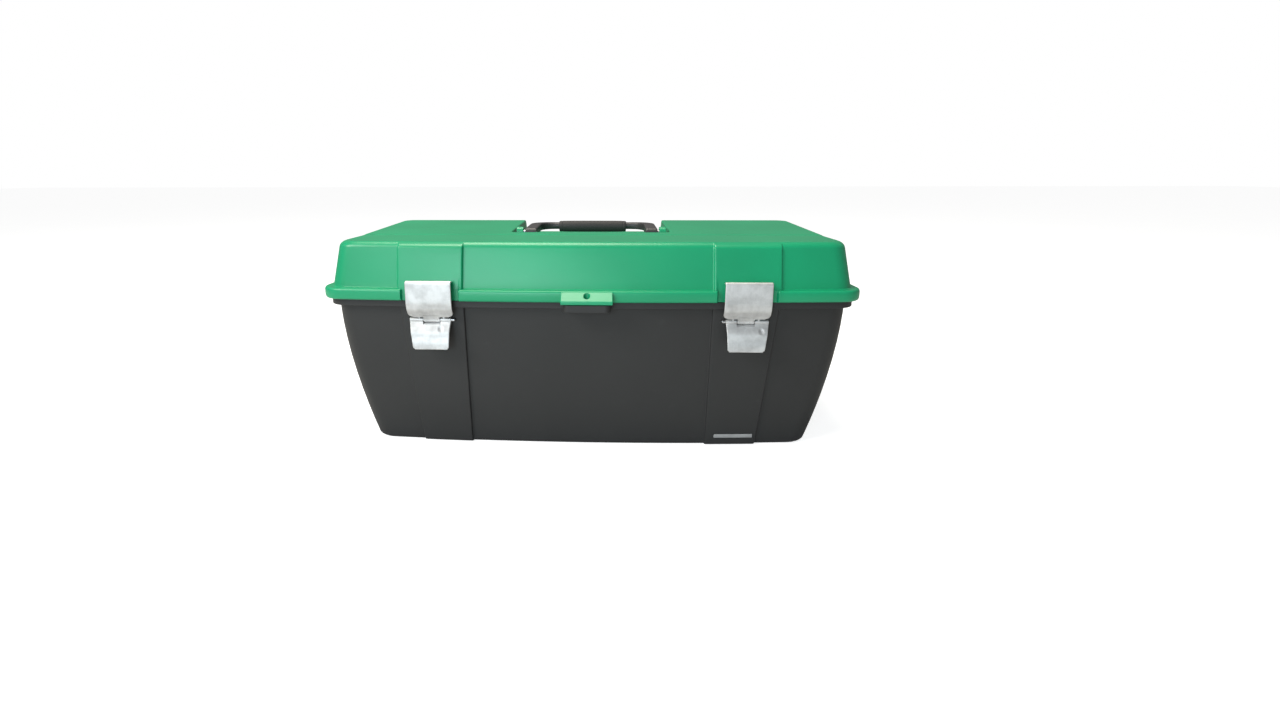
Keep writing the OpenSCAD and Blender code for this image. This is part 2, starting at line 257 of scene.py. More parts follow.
def as_object(name, mesh, material, sharp=32):
    """Links a mesh as an object with one material, smooth but for edges sharper than an angle."""
    for p in mesh.polygons:
        p.use_smooth = True
    mesh.set_sharp_from_angle(angle=math.radians(sharp))
    mesh.materials.clear()
    mesh.materials.append(material)
    obj = linked(name, mesh)
    weighted = obj.modifiers.new("normals", "WEIGHTED_NORMAL")
    weighted.keep_sharp = True
    return obj


def finish_mesh(name, shape, material, sharp=32):
    mesh = bpy.data.meshes.new(name)
    mesh.from_pydata(shape.verts, [], shape.faces)
    bm = bmesh.new()
    bm.from_mesh(mesh)
    bmesh.ops.remove_doubles(bm, verts=bm.verts, dist=0.01 * MM)
    bmesh.ops.recalc_face_normals(bm, faces=bm.faces)
    bm.to_mesh(mesh)
    bm.free()
    return as_object(name, mesh, material, sharp)


def joined(name, parts, material):
    """One object from several closed shells that belong to one moulding."""
    mesh = bpy.data.meshes.new(name)
    bm = bmesh.new()
    for part in parts:
        bm.from_mesh(part.data)
        bpy.data.objects.remove(part)
    bm.to_mesh(mesh)
    bm.free()
    return as_object(name, mesh, material)


def cut(obj, other):
    """Takes another closed shell out of obj, and removes that other object."""
    name, material = obj.name, obj.data.materials[0]
    obj.modifiers.clear()
    step = obj.modifiers.new("step", "BOOLEAN")
    step.operation = "DIFFERENCE"
    step.solver = "EXACT"
    step.object = other
    other.modifiers.clear()
    bpy.context.view_layer.update()
    mesh = bpy.data.meshes.new_from_object(obj.evaluated_get(bpy.context.evaluated_depsgraph_get()))
    for old in (obj, other):
        bpy.data.objects.remove(old)
    bm = bmesh.new()
    bm.from_mesh(mesh)
    bmesh.ops.remove_doubles(bm, verts=bm.verts, dist=0.005 * MM)
    bmesh.ops.dissolve_degenerate(bm, edges=bm.edges, dist=0.005 * MM)
    bm.to_mesh(mesh)
    bm.free()
    return as_object(name, mesh, material)


def extruded(name, outline, frame_of, depth, edge, material, segments=3):
    """A closed outline pushed through a depth, with its edges rounded. frame_of maps (u, v, w)."""
    mesh = bpy.data.meshes.new(name)
    bm = bmesh.new()
    near = [bm.verts.new(frame_of(u, v, 0.0)) for u, v in outline]
    far = [bm.verts.new(frame_of(u, v, depth)) for u, v in outline]
    bm.faces.new(near)
    bm.faces.new(far)
    for i in range(len(near)):
        j = (i + 1) % len(near)
        bm.faces.new((near[i], near[j], far[j], far[i]))
    bmesh.ops.recalc_face_normals(bm, faces=bm.faces)
    if edge > 0:
        sharp = [e for e in bm.edges if e.calc_face_angle(0) > math.radians(28)]
        bmesh.ops.bevel(bm, geom=sharp, offset=edge, segments=segments, profile=0.5,
                        affect="EDGES", clamp_overlap=True)
    bm.to_mesh(mesh)
    bm.free()
    return as_object(name, mesh, material)


def prism_x(name, outline, x0, x1, edge, material, segments=3):
    """An outline in Y and Z extruded along X."""
    return extruded(name, outline, lambda y, z, w: (x0 + w, y, z), x1 - x0, edge, material, segments)


def prism_y(name, outline, y0, y1, edge, material):
    """An outline in X and Z extruded along Y."""
    return extruded(name, outline, lambda x, z, w: (x, y0 + w, z), y1 - y0, edge, material)


def prism_z(name, outline, z0, z1, edge, material):
    return extruded(name, outline, lambda x, y, w: (x, y, z0 + w), z1 - z0, edge, material)


def turned(name, profile, centre, axis, material, sides=32):
    """A lathe piece: profile is (distance along the axis, radius). Radius 0 at both ends closes it,
    and a profile that starts and ends at the same point makes a ring."""
    shape = Shape()
    along = Vector(axis).normalized()
    u = along.orthogonal().normalized()
    v = along.cross(u)
    rings = []
    for s, r in profile:
        base = Vector(centre) + along * s
        if r <= 0:
            rings.append([shape.add(base)] * sides)
        else:
            angles = [2 * math.pi * i / sides for i in range(sides)]
            rings.append(shape.ring([base + u * (r * math.cos(a)) + v * (r * math.sin(a)) for a in angles]))
    shape.loft(rings)
    return finish_mesh(name, shape, material)


def cross_pin(node, end_of):
    """A pin along X that fills a CAD node's box. end_of(half length, radius) is the profile of its right
    end, from the tip inwards."""
    lo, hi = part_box(node)
    end = end_of((hi.x - lo.x) / 2, (hi.z - lo.z) / 2)
    return turned(node, [(-s, r) for s, r in end] + end[::-1], (lo + hi) / 2, (1, 0, 0), WIRE)


def domed_pin(node, dome):
    """dome is how long each end's curve is, as a share of the radius."""
    angles = [math.radians(a) for a in (0, 18, 36, 54, 72, 90)]
    return cross_pin(node, lambda half, r: [(half - dome * r * (1 - math.cos(a)), r * math.sin(a))
                                            for a in angles])


def headed_pin(node, head_r, head):
    """A pin peened over at both ends. head is how far each head reaches along the pin."""
    return cross_pin(node, lambda half, r: [
        (half, 0), (half - 0.1 * head, head_r * 0.55), (half - 0.4 * head, head_r * 0.9),
        (half - 0.7 * head, head_r), (half - head, head_r * 0.97), (half - head, r)])


def tube(name, centre, half, r_in):
    """A latch's knuckle: a ring round the link pin, with chamfered mouths."""
    r_out, chamfer = 2.5 * MM, 0.25 * MM
    profile = [(-half, r_in + chamfer), (-half, r_out - chamfer), (-half + chamfer, r_out),
               (half - chamfer, r_out), (half, r_out - chamfer), (half, r_in + chamfer),
               (half - chamfer, r_in), (-half + chamfer, r_in), (-half, r_in + chamfer)]
    return turned(name, profile, centre, (1, 0, 0), STEEL, 36)


def drill(obj, centre, axis, r, length, sides=48):
    """Takes a round hole out of obj."""
    half = length / 2
    blank = obj.data.materials[0]
    bit = turned("bit", [(-half, 0), (-half, r), (half, r), (half, 0)], centre, axis, blank, sides)
    return cut(obj, bit)


def bent(path, r, steps):
    """A polyline's corners rounded: each corner becomes a short curve that starts r before it."""
    points = [Vector(p) for p in path]
    out = [points[0]]
    for before, here, after in zip(points, points[1:], points[2:]):
        a = here + (before - here).normalized() * min(r, (before - here).length * 0.48)
        b = here + (after - here).normalized() * min(r, (after - here).length * 0.48)
        for i in range(steps + 1):
            t = i / steps
            out.append(a * (1 - t) ** 2 + here * (2 * t * (1 - t)) + b * t * t)
    return out + [points[-1]]


def run_of(path):
    """How far along the path each of its points is."""
    lengths = [0.0]
    for a, b in zip(path, path[1:]):
        lengths.append(lengths[-1] + (b - a).length)
    return lengths


def sheet(name, path, x, width_at, across, press=None):
    """Bent steel: a path in Y and Z swept over a width, with its rims rounded.

    width_at(share of the path) is the full width there. press(point) moves a point, for a dimple.
    """
    t = SHEET_T
    shape = Shape()
    lengths = run_of(path)
    rims = [math.radians(a) for a in (67.5, 45, 22.5, 0, -22.5, -45, -67.5)]

    def section(centre, normal, width, thick):
        flat = width / 2 - t / 2
        top = [(-flat + 2 * flat * i / across, thick / 2) for i in range(across + 1)]
        right = [(flat + t / 2 * math.cos(a), thick / 2 * math.sin(a)) for a in rims]
        loop = top + right + [(-u, -v) for u, v in top] + [(-u, -v) for u, v in right]
        points = []
        for u, v in loop:
            p = Vector((x + u, centre[0] + normal[0] * v, centre[1] + normal[1] * v))
            points.append(press(p) if press else p)
        return shape.ring(points)

    rings = []
    for i, p in enumerate(path):
        ahead = (path[min(i + 1, len(path) - 1)] - path[max(i - 1, 0)]).normalized()
        normal = Vector((-ahead[1], ahead[0]))
        width = width_at(lengths[i] / lengths[-1])
        ends = [(0.0, 1.0)]
        if i in (0, len(path) - 1):
            ends = [(0.5, 0.0), (0.46, 0.38), (0.35, 0.71), (0.19, 0.92), (0.0, 1.0)]
            ends = ends if i == 0 else ends[::-1]
        for out, share in ends:
            way = -1 if i == 0 else 1
            inward = (1 - share) * t * 0.5
            rings.append(section(p + ahead * (way * out * t), normal, width - inward, t * max(share, 0.05)))
    shape.solid(rings)
    return finish_mesh(name, shape, STEEL)


# ---- Materials ----

class Nodes:
    """Short calls for building one material's node tree on object coordinates."""

    def __init__(self, name):
        self.material = bpy.data.materials.new(name)
        self.material.use_nodes = True
        self.tree = self.material.node_tree
        self.shader = self.tree.nodes["Principled BSDF"]
        self.where = self.node("TexCoord").outputs["Object"]

    def put(self, socket, value):
        """Links another node's output to a socket, or gives the socket a number, vector or colour."""
        if hasattr(value, "links"):
            self.tree.links.new(value, socket)
        elif socket.type == "RGBA":
            socket.default_value = (*value, 1)
        else:
            socket.default_value = value

    def node(self, kind, **inputs):
        node = self.tree.nodes.new("ShaderNode" + kind)
        for key, value in inputs.items():
            self.put(node.inputs[key.replace("_", " ")], value)
        return node

    def set(self, **values):
        for key, value in values.items():
            self.put(self.shader.inputs[key.replace("_", " ")], value)

    def stretched(self, scale):
        return self.node("Mapping", Scale=scale, Vector=self.where).outputs["Vector"]

    def noise(self, scale, detail, roughness=0.5, where=None):
        return self.node("TexNoise", Scale=scale, Detail=detail, Roughness=roughness,
                         Vector=where or self.where).outputs["Fac"]

    def cells(self, scale):
        return self.node("TexVoronoi", Scale=scale, Vector=self.where).outputs["Color"]

    def remap(self, value, low, high, to_low, to_high):
        return self.node("MapRange", From_Min=low, From_Max=high, To_Min=to_low, To_Max=to_high,
                         Value=value).outputs["Result"]

    def mix(self, share, a, b):
        """A colour between a and b."""
        node = self.node("Mix")
        node.data_type = "RGBA"
        for socket, value in zip((node.inputs[0], node.inputs[6], node.inputs[7]), (share, a, b)):
            self.put(socket, value)
        return node.outputs[2]

    def math(self, operation, a, b):
        node = self.node("Math")
        node.operation = operation
        self.put(node.inputs[0], a)
        self.put(node.inputs[1], b)
        return node.outputs[0]

    def edges(self):
        """Near 1 on outside edges, from the mesh's own curvature."""
        return self.remap(self.node("NewGeometry").outputs["Pointiness"], 0.52, 0.6, 0.0, 1.0)

    def bump(self, height, strength, distance, over=None):
        node = self.node("Bump", Strength=strength, Distance=distance, Height=height)
        if over is not None:
            self.put(node.inputs["Normal"], over)
        return node.outputs["Normal"]


def moulded_plastic(name, colour, light, grain, grain_depth, rough, specular=0.5):
    """Injection-moulded plastic: fine mould grain, cloudy colour, dull scuffs and paler edges."""
    n = Nodes(name)
    cloud = n.remap(n.noise(9, 3), 0.35, 0.65, 0.0, 1.0)
    base = n.mix(cloud, colour, tuple(c * 1.12 for c in colour))
    scuff = n.remap(n.noise(55, 6, 0.72, n.stretched((1, 0.35, 1.6))), 0.62, 0.8, 0.0, 0.16)
    base = n.mix(scuff, base, light)
    base = n.mix(n.math("MULTIPLY", n.edges(), 0.08), base, light)
    fine = n.noise(grain, 2, 0.6)
    wave = n.noise(26, 1.5)
    n.set(Base_Color=base, Specular_IOR_Level=specular,
          Roughness=n.math("ADD", n.remap(fine, 0.3, 0.7, rough - 0.03, rough + 0.05),
                           n.math("MULTIPLY", scuff, 0.25)),
          Normal=n.bump(fine, 0.35, grain_depth, n.bump(wave, 0.12, 0.4 * MM)))
    return n.material


def plated_steel(name, colour, rough, streak, metal=1.0):
    """Zinc plate: dull patches, faint crystals, drawing streaks along the part and a few small scratches.
    With metal at 0 it is the same surface under matt lacquer."""
    n = Nodes(name)
    spangle = n.remap(n.cells(420), 0.0, 1.0, -0.02, 0.02)
    lines = n.noise(streak, 3, 0.6, n.stretched((1, 0.06, 0.06)))
    dull = n.remap(n.noise(70, 4, 0.6), 0.38, 0.66, 0.0, 0.85)
    scratch = n.remap(n.noise(420, 2, 0.5, n.stretched((0.15, 1, 1))), 0.66, 0.72, 0.0, 1.0)
    base = n.mix(dull, colour, tuple(c * 0.72 for c in colour))
    base = n.mix(n.math("MULTIPLY", scratch, 0.25), base, tuple(min(1.0, c * 1.15) for c in colour))
    n.set(Base_Color=base, Metallic=metal,
          Roughness=n.math("ADD", n.remap(lines, 0.3, 0.7, rough - 0.03, rough + 0.05), spangle),
          Normal=n.bump(lines, 0.12, 0.05 * MM, n.bump(scratch, 0.15, 0.03 * MM)))
    return n.material


FLOOR_GLOW = 0.80


def floor_paint():
    """Pale paper on a lit table: it glows to the eye but throws no light on the box from below."""
    n = Nodes("floor_paper")
    seen = n.tree.nodes.new("ShaderNodeLightPath").outputs["Is Camera Ray"]
    n.set(Emission_Color=(1.0, 1.0, 1.0), Emission_Strength=n.math("MULTIPLY", seen, FLOOR_GLOW))
    cloud = n.remap(n.noise(6, 4), 0.3, 0.7, 0.0, 1.0)
    n.set(Base_Color=n.mix(cloud, (0.62, 0.62, 0.62), (0.65, 0.65, 0.65)),
          Roughness=0.9, Specular_IOR_Level=0.1)
    return n.material


GREEN = moulded_plastic("green_plastic", (0.003, 0.268, 0.118), (0.04, 0.40, 0.21), 2600, 0.05 * MM, 0.34)
GREY = moulded_plastic("grey_plastic", (0.0225, 0.0225, 0.023), (0.07, 0.07, 0.07), 1500, 0.16 * MM,
                       0.52, 0.35)
TRAY_GREY = moulded_plastic("tray_plastic", (0.060, 0.060, 0.062), (0.15, 0.15, 0.15), 1700, 0.12 * MM,
                            0.48)
BLACK = moulded_plastic("handle_plastic", (0.036, 0.034, 0.036), (0.13, 0.13, 0.13), 1900, 0.10 * MM,
                        0.42, 0.4)
RUBBER = moulded_plastic("grip_rubber", (0.030, 0.028, 0.029), (0.08, 0.08, 0.08), 1300, 0.20 * MM,
                         0.62, 0.35)
STEEL = plated_steel("zinc_steel", (0.665, 0.665, 0.67), 0.60, 900)
BRACKET = plated_steel("bracket_steel", (0.62, 0.62, 0.64), 0.34, 1100)
WIRE = plated_steel("pin_steel", (0.58, 0.58, 0.60), 0.30, 1500)
PLATE = plated_steel("plate_aluminium", (0.36, 0.36, 0.365), 0.45, 2400, 0.0)


# ---- Tub ----

TUB_COUNTS = [13, 6, 5]
SIDE_COUNT, BACK_COUNT = 12, 22


def tub_loop(z, end, side, r, bow, out=0.0, outer=pilaster_top):
    """One level ring. out is how far the pilasters stand proud, outer their far edge at this level."""
    half, front, back = half_l - end, side - half_d, half_d - side
    row = edge_row(half - r, [(pilaster_in, "p", True), (outer, "p", False)], TUB_COUNTS)
    points = [(x, front - bow * bow_part(x, half - r) - out * f.get("p", 0.0)) for x, f in both_ways(row)]
    points += corner(half - r, front + r, r, -90)
    points += [(half, y) for y in spread(front + r, back - r, SIDE_COUNT)]
    points += corner(half - r, back - r, r, 0)
    points += [(x, back) for x in spread(half - r, r - half, BACK_COUNT)]
    points += corner(r - half, back - r, r, 90)
    points += [(-half, y) for y in spread(back - r, front + r, SIDE_COUNT)]
    points += corner(r - half, front + r, r, 180)
    return [(x, y, z) for x, y in points]


def tub_wall(z, inset=0.0, r=22.0, out=pilaster_out, at=None):
    """A ring of the wall, in millimetres; at is the level whose outline it takes, where that isn't z."""
    h = z * MM if at is None else at
    outer = pilaster_foot + (pilaster_top - pilaster_foot) * min(1.0, h / wall_top)
    return tub_loop(z * MM, tub_end(h) + inset * MM, tub_side(h) + inset * MM, r * MM, bow_at(h),
                    out, outer)


def tub_plate(z, inset, r=22.0):
    """A ring of the lip or the tongue, the same distance in from the flange's outline all round."""
    return tub_loop(z * MM, inset * MM, inset * MM, r * MM, front_bow)


def front_at(x, z):
    half = half_l - tub_end(z)
    return tub_side(z) - half_d - bow_at(z) * bow_part(x, half - 20 * MM)


def tub_shell():
    shape = Shape()
    rings = [tub_wall(z, i, 22 - i, 0.0, at=0.0) for z, i in ((0.8, 14), (0, 12.5))]
    rings += [tub_wall(z) for z in (0, 0.3, 0.9, 1.9, 3, 4, 10, 22, 38, 56, 76, 96, 116, 134, 148, 155)]
    rings += [tub_wall(z, i, at=wall_top) for z, i in ((156.2, -0.2), (156.8, -0.8), (157, -1.6))]
    rings += [tub_plate(z, i) for z, i in ((157, 6.4), (157.15, 5.85), (157.6, 5.5), (160.5, 5.5),
                                           (163.4, 5.5), (163.85, 5.65), (164, 6.1))]
    rings += [tub_plate(z, i, r) for z, i, r in (
        (164, 6.5, 21.2), (164.3, 6.7, 21), (170.2, 6.75, 21), (170.8, 7.0, 20.8), (171, 7.6, 20.5),
        (171, 9.2, 19.5), (170.8, 9.7, 19.2), (170.3, 9.9, 19), (165.3, 10.1, 19), (164.8, 10.4, 18.8),
        (164.6, 11, 18.5), (164.6, 14.1, 17.4), (164.4, 14.7, 17.1), (163.8, 15, 17), (157, 15, 17))]
    rings += [tub_wall(z, wall / MM, 19, 0.0) for z in (154, 146, 132, 114, 95, 76, 56, 38, 22, 12, 8)]
    rings += [tub_wall(z, i, 22 - i, 0.0, at=5 * MM)
              for z, i in ((5.7, 3.4), (4.2, 4.5), (3.3, 6.1), (3, 8.2))]
    shape.solid([shape.ring(r) for r in rings])
    return finish_mesh("tub_body", shape, GREY)


def knuckle(x, half, root_y, low_z, high_z, turn, material):
    """A hinge knuckle, which comes out from root_y between two heights and goes round the pin."""
    outline = [(root_y, low_z)] + arc(hinge_y, hinge_z, knuckle_r, *turn, 18) + [(root_y, high_z)]
    block = prism_x("knuckle", outline, x - half, x + half, 0.45 * MM, material, 2)
    return drill(block, (x, hinge_y, hinge_z), (1, 0, 0), hinge_hole_r, 30 * MM)


def tub_knuckle(x):
    return knuckle(x, 9 * MM, half_d - 14.8 * MM, hinge_z - 20 * MM, hinge_z - 0.2 * MM, (-62, 178), GREY)


def padlock_lug(eye_y, eye_r, z0, z1):
    front, r = eye_y - 5.2 * MM, 6 * MM
    plan = [(24 * MM, -half_d + 6 * MM)] + arc(24 * MM - r, front + r, r, 0, -90, 8)
    plan += arc(r - 24 * MM, front + r, r, -90, -180, 8) + [(-24 * MM, -half_d + 6 * MM)]
    lug = prism_z("lug", plan, z0, z1, 0.6 * MM, GREY)
    return drill(lug, (0, eye_y, (z0 + z1) / 2), (0, 0, 1), eye_r, 30 * MM)


def tray_ledge(side):
    top = rim_z - ledge_drop
    inner, outer = side * (half_l - 32 * MM), side * (half_l - 16.3 * MM)
    outline = [(outer, top), (inner, top), (inner, top - 3.4 * MM), (outer, top - 10 * MM)]
    return prism_y("ledge", outline, 45 * MM - half_d, half_d - 45 * MM, 0.6 * MM, GREY)


eye = next(m for m in frame["record"]["mounts"] if m["name"] == "padlock_eye")
eye_y, eye_r = eye["pos_m"][1], eye["dims"]["r_mm"] * MM

KNUCKLES = [side * 155 * MM + end * 21.1 * MM for side in (-1, 1) for end in (-1, 1)]
parts = [tub_shell(), padlock_lug(eye_y, eye_r, lip_z - 0.8 * MM, rim_z - 0.2 * MM)]
parts += [tray_ledge(-1), tray_ledge(1)] + [tub_knuckle(x) for x in KNUCKLES]
tub = joined("tub_moulding", parts, GREY)
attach(tub, "tub")
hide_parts("base_tub")


# ---- Lid ----

LID_FRONT = [(pilaster_in, "p", True), (latch_x - notch_half, "n", True),
             (latch_x + notch_half, "n", False), (pilaster_top, "p", False)]
LID_COUNTS = [14, 0, 8, 0, 4]
SIDE_FRONT, SIDE_BACK, CHANNEL_COUNT, DECK_COUNT = 5, 8, 9, 8
# The channel's side: distance outside its wall, with the drop from the deck or the rise from the floor
CHANNEL_RIM = [(1.7, 0.0), (1.05, 0.13), (0.5, 0.5), (0.13, 1.1), (0.0, 2.0)]
CHANNEL_FOOT = [(-0.5, 2.8), (-0.75, 1.6), (-1.35, 0.68), (-2.2, 0.16), (-3.3, 0.0)]


class Lid:
    """The lid's outer skin, or with skin > 0 its inner one: rings up the wall and everything on top."""

    def __init__(self, shape, skin):
        self.shape, self.skin = shape, skin
        self.shoulder, self.deck, self.floor = (z - skin for z in (shoulder_z, deck_z, channel_z))
        self.r_shoulder, self.r_deck, self.r_floor = (
            (6 * MM, 4 * MM, 1.6 * MM) if skin == 0 else (4 * MM, 2.5 * MM, 1.2 * MM))
        self.foot = riser_foot + 0.8 * skin
        self.rows = [self.foot + riser_run * i / (RISER_ROWS - 1) for i in range(RISER_ROWS)]
        self.half_channel = channel_half + skin
        self.channel_r = channel_corner + skin

    def deck_at(self, y):
        return self.deck - deck_fall * (deck_back - y)

    def top_at(self, y):
        """Height and edge radius of the lid's side at y, on either side of the riser."""
        share = smooth((y - self.foot) / riser_run)
        along = min(1.0, max(0.0, (y - self.foot) / (deck_back - self.foot)))
        return (self.shoulder + (self.deck_at(y) - self.shoulder) * share,
                self.r_shoulder + (self.r_deck - self.r_shoulder) * along)

    def channel_profile(self):
        """(distance from the channel's middle, height), from the rim down to the floor."""
        rim = [(self.half_channel + o * MM, self.deck - drop * MM) for o, drop in CHANNEL_RIM]
        return rim + [(self.half_channel + o * MM, self.floor + rise * MM) for o, rise in CHANNEL_FOOT]

    def back_row(self, end):
        """Half of the back, from its middle: (x, height)."""
        profile = self.channel_profile()[::-1]
        row = [(0.0, self.floor)] + [(x, self.floor) for x in spread(0, profile[0][0], CHANNEL_COUNT)]
        row += profile
        return row + [(x, self.deck) for x in spread(profile[-1][0], end, DECK_COUNT)]

    def loop(self, level, flange=None):
        """A ring. level(top, r) gives (z, extra inset) for a place with that top and edge radius.
        flange is (inset, front corner radius, back corner radius) for the rings below the wall."""

        def inset(z, extra, lean):
            return flange[0] if flange else lid_wall(z, lean) + extra + self.skin

        r_f, r_b = flange[1:] if flange else (lid_front_r - self.skin, lid_back_r - self.skin)
        z_f, extra_f = level(self.shoulder, self.r_shoulder)
        z_b, extra_b = level(self.deck, self.r_deck)
        half_f = half_l - inset(z_f, extra_f, lid_lean)
        front = inset(z_f, extra_f, lid_lean) - half_d
        half_b = half_l - inset(z_b, extra_b, lid_lean)
        back = half_d - inset(z_b, extra_b, lid_back_lean)

        points = []
        for x, f in both_ways(edge_row(half_f - r_f, LID_FRONT, LID_COUNTS)):
            points.append((x, self.front_y(x, f, z_f, front, half_f - r_f, flange), z_f))
        points += [(x, y, z_f) for x, y in corner(half_f - r_f, front + r_f, r_f, -90)]
        side = []
        ys = spread(front + r_f, self.rows[0], SIDE_FRONT) + self.rows
        ys += spread(self.rows[-1], back - r_b, SIDE_BACK)
        for y in ys:
            z, extra = level(*self.top_at(y))
            side.append((half_l - inset(z, extra, lid_lean), y, z))
        points += side
        right_corner = []
        for x, y in corner(half_b - r_b, back - r_b, r_b, 0):
            right_corner.append((x, y, level(self.deck - deck_fall * (back - y), self.r_deck)[0]))
        points += right_corner
        back_points = []
        for x, top in self.back_row(half_b - r_b):
            share = (top - self.floor) / (self.deck - self.floor)
            z, extra = level(top, self.r_floor + (self.r_deck - self.r_floor) * share)
            back_points.append((x, half_d - inset(z, extra, lid_back_lean), z))
        points += back_points[::-1]
        points += [(-x, y, z) for x, y, z in back_points[1:] + right_corner[::-1] + side[::-1]]
        points += [(x, y, z_f) for x, y in corner(r_f - half_f, front + r_f, r_f, 180)]
        self.side_count, self.half_back = len(side), len(back_points)
        self.front_count = 2 * len(edge_row(half_f - r_f, LID_FRONT, LID_COUNTS)) - 1
        return self.shape.ring(points)

    def front_y(self, x, f, z, front, reach, flange):
        y = front - bow_at(z) * bow_part(x, reach)
        pilaster, notch = f.get("p", 0.0), f.get("n", 0.0)
        if self.skin == 0:
            t = min(1.0, max(0.0, (z - shoulder_z + 7.2 * MM) / (6.2 * MM)))
            out = pilaster_out * pilaster * math.sqrt(1 - t * t)
            if flange:
                y = min(y, front_line(x, 8 * MM, lid_front_r, front_bow, 8 * MM) - out)
            else:
                y -= out
        fade = 1 - smooth((z - rim_z - 27.5 * MM) / (2 * MM))
        keeper = keeper_y + (1.4 * MM if self.skin else 0.0)
        return y + notch * fade * max(0.0, keeper - y)

    def wall_loop(self, share, base):
        return self.loop(lambda top, r: (base + (top - r - base) * share, 0.0))

    def round_loop(self, degrees):
        a = math.radians(degrees)
        return self.loop(lambda top, r: (top - r + r * math.sin(a), r * (1 - math.cos(a))))

    def close_top(self, ring):
        """Shoulder, riser, decks and channel, filling the last ring."""
        right = self.front_count + CORNER_STEPS
        back = right + self.side_count + CORNER_STEPS
        left = back + 2 * self.half_back - 1 + CORNER_STEPS
        end = self.half_back - 1

        def right_row(k):
            return right + SIDE_FRONT + k

        def left_row(k):
            return left + self.side_count - 1 - SIDE_FRONT - k

        # Sections of the channel from its right end round the front to its left end
        profile = self.channel_profile()
        rim_at = CHANNEL_COUNT + len(profile)
        first = [ring[back + end - (rim_at - i)] for i in range(len(profile))]
        last = [ring[back + end + (rim_at - i)] for i in range(len(profile))]
        reach = CHANNEL_RIM[0][0] * MM
        cx, cy = self.half_channel - self.channel_r, channel_front + channel_corner

        def section(point_at):
            """point_at(distance outside the wall) gives x and y."""
            top = self.deck_at(point_at(reach)[1])
            points = []
            for i, (x, z) in enumerate(profile):
                px, py = point_at(x - self.half_channel)
                points.append((px, py, top - CHANNEL_RIM[i][1] * MM if i < len(CHANNEL_RIM) else z))
            return self.shape.ring(points)

        def along_side(s):
            made = [section(lambda o: (s * (self.half_channel + o), y))
                    for y in spread(half_d - 31 * MM, cy, 6)]
            for i in range(9):
                a = math.radians(90 * i / 8)
                made.append(section(lambda o: (s * (cx + (self.channel_r + o) * math.cos(a)),
                                               cy - (self.channel_r + o) * math.sin(a))))
            return made

        fronts = [section(lambda o: (x, cy - self.channel_r - o)) for x in spread(cx, -cx, 9)]
        path = [first] + along_side(1) + fronts + along_side(-1)[::-1] + [last]
        self.shape.loft(path, closed=False)
        foot = rim_at - len(profile)
        self.shape.cap([s[-1] for s in path] + [ring[back + end + i] for i in range(foot, -foot - 1, -1)])

        # Shoulder, riser strips and the deck round the channel
        self.shape.cap(ring[left_row(0):] + ring[:right_row(0) + 1])
        for k in range(RISER_ROWS - 1):
            strip = (right_row(k), right_row(k + 1), left_row(k + 1), left_row(k))
            self.shape.faces.append(tuple(ring[i] for i in strip))
        top = RISER_ROWS - 1
        deck = ring[right_row(top):back + end - rim_at] + [s[0] for s in path]
        self.shape.cap(deck + ring[back + end + rim_at + 1:left_row(top) + 1])


def lid_skin(shape, skin):
    """Rings of one skin from the skirt's bottom edge up, with the top closed. Returns the first ring."""
    lid = Lid(shape, skin)
    if skin == 0:
        flange = [(0.0, 2.5), (0.12, 1.7), (0.55, 1.0), (1.5, 0.4), (2.9, 0.06), (5.9, 0.0), (8.9, 0.06),
                  (10.3, 0.4), (11.25, 1.0), (11.68, 1.7), (11.8, 2.6)]
        levels = [(skirt_z + h * MM, e * MM, flange_r - e * MM, flange_r - e * MM) for h, e in flange]
        levels += [(flange_z, 6.6 * MM, 19.3 * MM, 13.4 * MM)]
        levels += [(flange_z + 0.25 * MM, 7.6 * MM, 19 * MM, 12.4 * MM)]
        base, turns = flange_z + 0.9 * MM, (15, 30, 45, 60, 75, 90)
    else:
        flange = [(0.0, 3.0), (0.5, 3.0), (4.0, 3.0), (7.8, 3.0), (8.6, 3.4), (8.8, 4.2)]
        levels = [(skirt_z + h * MM, e * MM, flange_r - e * MM, flange_r - e * MM) for h, e in flange]
        levels += [(skirt_z + h * MM, e * MM, 16.5 * MM, 10 * MM) for h, e in ((8.8, 9.4), (9.1, 10.6))]
        base, turns = skirt_z + 10 * MM, (30, 60, 90)
    rings = [lid.loop(lambda top, r: (z, 0.0), (e, r_f, r_b)) for z, e, r_f, r_b in levels]
    rings += [lid.wall_loop(share, base) for share in (0, 0.18, 0.3, 0.36, 0.42, 0.6, 0.8, 1.0)]
    rings += [lid.round_loop(a) for a in turns]
    shape.loft(rings)
    lid.close_top(rings[-1])
    return rings[0]


def lid_body():
    shape = Shape()
    shape.bridge(lid_skin(shape, 0.0), lid_skin(shape, wall))
    return finish_mesh("lid_body", shape, GREEN, 30)


def lid_knuckle(x):
    return knuckle(x, 11.5 * MM, half_d - 2 * MM, rim_z + 1.6 * MM, flange_z - 1.5 * MM, (200, 430), GREEN)


def padlock_tab():
    front = eye_y - 6.2 * MM
    outline = [(3 * MM - half_d, skirt_z), (3 * MM - half_d, flange_z - 0.6 * MM),
               (-half_d - front_bow - 0.2 * MM, flange_z - 0.6 * MM), (front, skirt_z + 3.4 * MM),
               (front, skirt_z)]
    tab = prism_x("tab", outline, -26 * MM, 26 * MM, 0.9 * MM, GREEN)
    return drill(tab, (0, eye_y, flange_z), (0, 0, 1), eye_r, 40 * MM)


